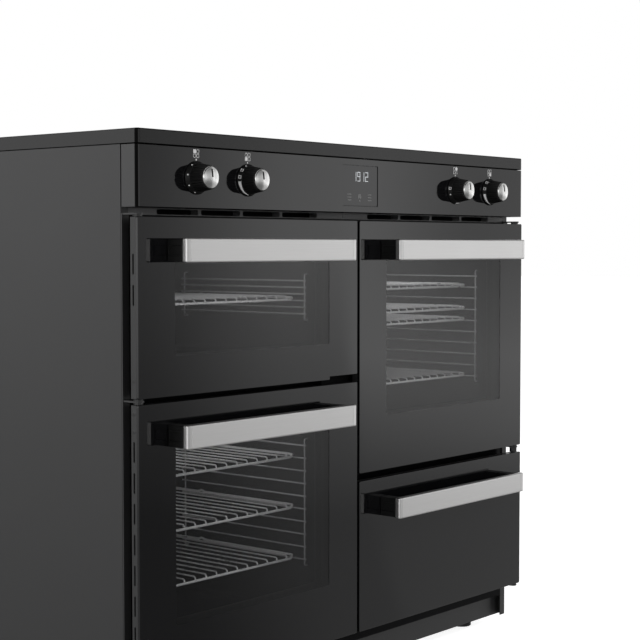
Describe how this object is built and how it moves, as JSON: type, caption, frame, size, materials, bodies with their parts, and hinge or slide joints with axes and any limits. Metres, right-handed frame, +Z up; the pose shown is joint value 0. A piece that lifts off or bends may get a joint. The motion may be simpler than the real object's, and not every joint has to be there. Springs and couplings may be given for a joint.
{
  "type": "range cooker",
  "caption": "Freestanding black range cooker with side-hung glazed oven doors in columns, a flat glass hob, bar handles, rotary controls and wire racks.",
  "frame": {"origin": "on the floor, at the middle of the whole object's outline", "axes": "+X to the right seen from the front, +Y to the back, +Z up"},
  "size_m": [1, 0.642, 0.9],
  "materials": {
    "casing": "satin black paint on folded steel",
    "zinc_steel": "zinc-coated steel",
    "enamel": "black vitreous enamel",
    "black_glass": "toughened glass, black printed on its inside",
    "inner_glass": "toughened inner pane",
    "display": "gloss black display lens",
    "door_tray": "satin grey pressed steel",
    "grip": "satin anodised bar",
    "black_plastic": "fine-grained black moulding",
    "knob": "black moulding with a metal cap",
    "seal": "woven-covered rubber seal",
    "chrome": "bright plated wire"
  },
  "bodies": {
    "root": {"side_panel_left": "casing", "side_panel_right": "casing", "back_panel": "zinc_steel", "base_tray": "zinc_steel", "plinth_panel": "casing", "foot_front_left": "black_plastic", "foot_front_right": "black_plastic", "foot_back_left": "black_plastic", "foot_back_right": "black_plastic", "front_frame": "enamel", "vent_strip_left": "casing", "vent_strip_right": "casing", "hinge_post_left": "casing", "hinge_post_right": "casing", "hob_trim": "casing", "hob_glass": "black_glass", "fascia": "black_glass", "display_window": "display", "upper_left_liner": "enamel", "upper_left_seal": "seal", "upper_left_ladder_left": "chrome", "upper_left_ladder_right": "chrome", "lower_left_liner": "enamel", "lower_left_seal": "seal", "lower_left_ladder_left": "chrome", "lower_left_ladder_right": "chrome", "upper_right_liner": "enamel", "upper_right_seal": "seal", "upper_right_ladder_left": "chrome", "upper_right_ladder_right": "chrome", "lower_right_liner": "enamel"},
    "upper_left_door": {"upper_left_door_frame": "door_tray", "upper_left_door_glass": "black_glass", "upper_left_handle_mount": "black_plastic", "upper_left_handle_grip": "grip", "upper_left_inner_glass": "inner_glass"},
    "lower_left_door": {"lower_left_door_frame": "door_tray", "lower_left_door_glass": "black_glass", "lower_left_handle_mount": "black_plastic", "lower_left_handle_grip": "grip", "lower_left_inner_glass": "inner_glass"},
    "upper_right_door": {"upper_right_door_frame": "door_tray", "upper_right_door_glass": "black_glass", "upper_right_handle_mount": "black_plastic", "upper_right_handle_grip": "grip", "upper_right_inner_glass": "inner_glass"},
    "lower_right_door": {"lower_right_door_frame": "door_tray", "lower_right_door_glass": "black_glass", "lower_right_handle_mount": "black_plastic", "lower_right_handle_grip": "grip"},
    "knob_1": {"knob_1": "knob"},
    "knob_2": {"knob_2": "knob"},
    "knob_3": {"knob_3": "knob"},
    "knob_4": {"knob_4": "knob"},
    "upper_left_rack_1": {"upper_left_rack_1": "chrome"},
    "lower_left_rack_1": {"lower_left_rack_1": "chrome"},
    "lower_left_rack_2": {"lower_left_rack_2": "chrome"},
    "upper_right_rack_1": {"upper_right_rack_1": "chrome"},
    "upper_right_rack_2": {"upper_right_rack_2": "chrome"},
    "upper_right_rack_3": {"upper_right_rack_3": "chrome"}
  },
  "joints": [
    {"name": "upper_left_door_hinge", "type": "hinge", "parent": "root", "child": "upper_left_door", "pos_m": [-0.4905, -0.2681, 0.64585], "axis": [0, 0, -1], "range_deg": [0, 100]},
    {"name": "lower_left_door_hinge", "type": "hinge", "parent": "root", "child": "lower_left_door", "pos_m": [-0.4905, -0.2681, 0.297], "axis": [0, 0, -1], "range_deg": [0, 100]},
    {"name": "upper_right_door_hinge", "type": "hinge", "parent": "root", "child": "upper_right_door", "pos_m": [0.4905, -0.2681, 0.5645], "axis": [0, 0, 1], "range_deg": [0, 100]},
    {"name": "lower_right_door_hinge", "type": "hinge", "parent": "root", "child": "lower_right_door", "pos_m": [0.4905, -0.2681, 0.21295], "axis": [0, 0, 1], "range_deg": [0, 100]},
    {"name": "knob_1_turn", "type": "hinge", "parent": "root", "child": "knob_1", "pos_m": [-0.382, -0.279, 0.8332], "axis": [0, 1, 0], "range_deg": [0, 270]},
    {"name": "knob_2_turn", "type": "hinge", "parent": "root", "child": "knob_2", "pos_m": [-0.2712, -0.279, 0.8332], "axis": [0, 1, 0], "range_deg": [0, 270]},
    {"name": "knob_3_turn", "type": "hinge", "parent": "root", "child": "knob_3", "pos_m": [0.278, -0.279, 0.8332], "axis": [0, 1, 0], "range_deg": [0, 270]},
    {"name": "knob_4_turn", "type": "hinge", "parent": "root", "child": "knob_4", "pos_m": [0.3876, -0.279, 0.8332], "axis": [0, 1, 0], "range_deg": [0, 270]},
    {"name": "upper_left_rack_1_slide", "type": "slide", "parent": "root", "child": "upper_left_rack_1", "axis": [0, -1, 0], "range_m": [0, 0.1801]},
    {"name": "lower_left_rack_1_slide", "type": "slide", "parent": "root", "child": "lower_left_rack_1", "axis": [0, -1, 0], "range_m": [0, 0.1801]},
    {"name": "lower_left_rack_2_slide", "type": "slide", "parent": "root", "child": "lower_left_rack_2", "axis": [0, -1, 0], "range_m": [0, 0.1801]},
    {"name": "upper_right_rack_1_slide", "type": "slide", "parent": "root", "child": "upper_right_rack_1", "axis": [0, -1, 0], "range_m": [0, 0.1801]},
    {"name": "upper_right_rack_2_slide", "type": "slide", "parent": "root", "child": "upper_right_rack_2", "axis": [0, -1, 0], "range_m": [0, 0.1801]},
    {"name": "upper_right_rack_3_slide", "type": "slide", "parent": "root", "child": "upper_right_rack_3", "axis": [0, -1, 0], "range_m": [0, 0.1801]}
  ],
  "couplings": [
    {"joint": "upper_left_rack_1_slide", "follows": "upper_left_door_hinge", "m_per_rad": 0.10313},
    {"joint": "lower_left_rack_1_slide", "follows": "lower_left_door_hinge", "m_per_rad": 0.10313},
    {"joint": "lower_left_rack_2_slide", "follows": "lower_left_door_hinge", "m_per_rad": 0.10313},
    {"joint": "upper_right_rack_1_slide", "follows": "upper_right_door_hinge", "m_per_rad": 0.10313},
    {"joint": "upper_right_rack_2_slide", "follows": "upper_right_door_hinge", "m_per_rad": 0.10313},
    {"joint": "upper_right_rack_3_slide", "follows": "upper_right_door_hinge", "m_per_rad": 0.10313}
  ]
}
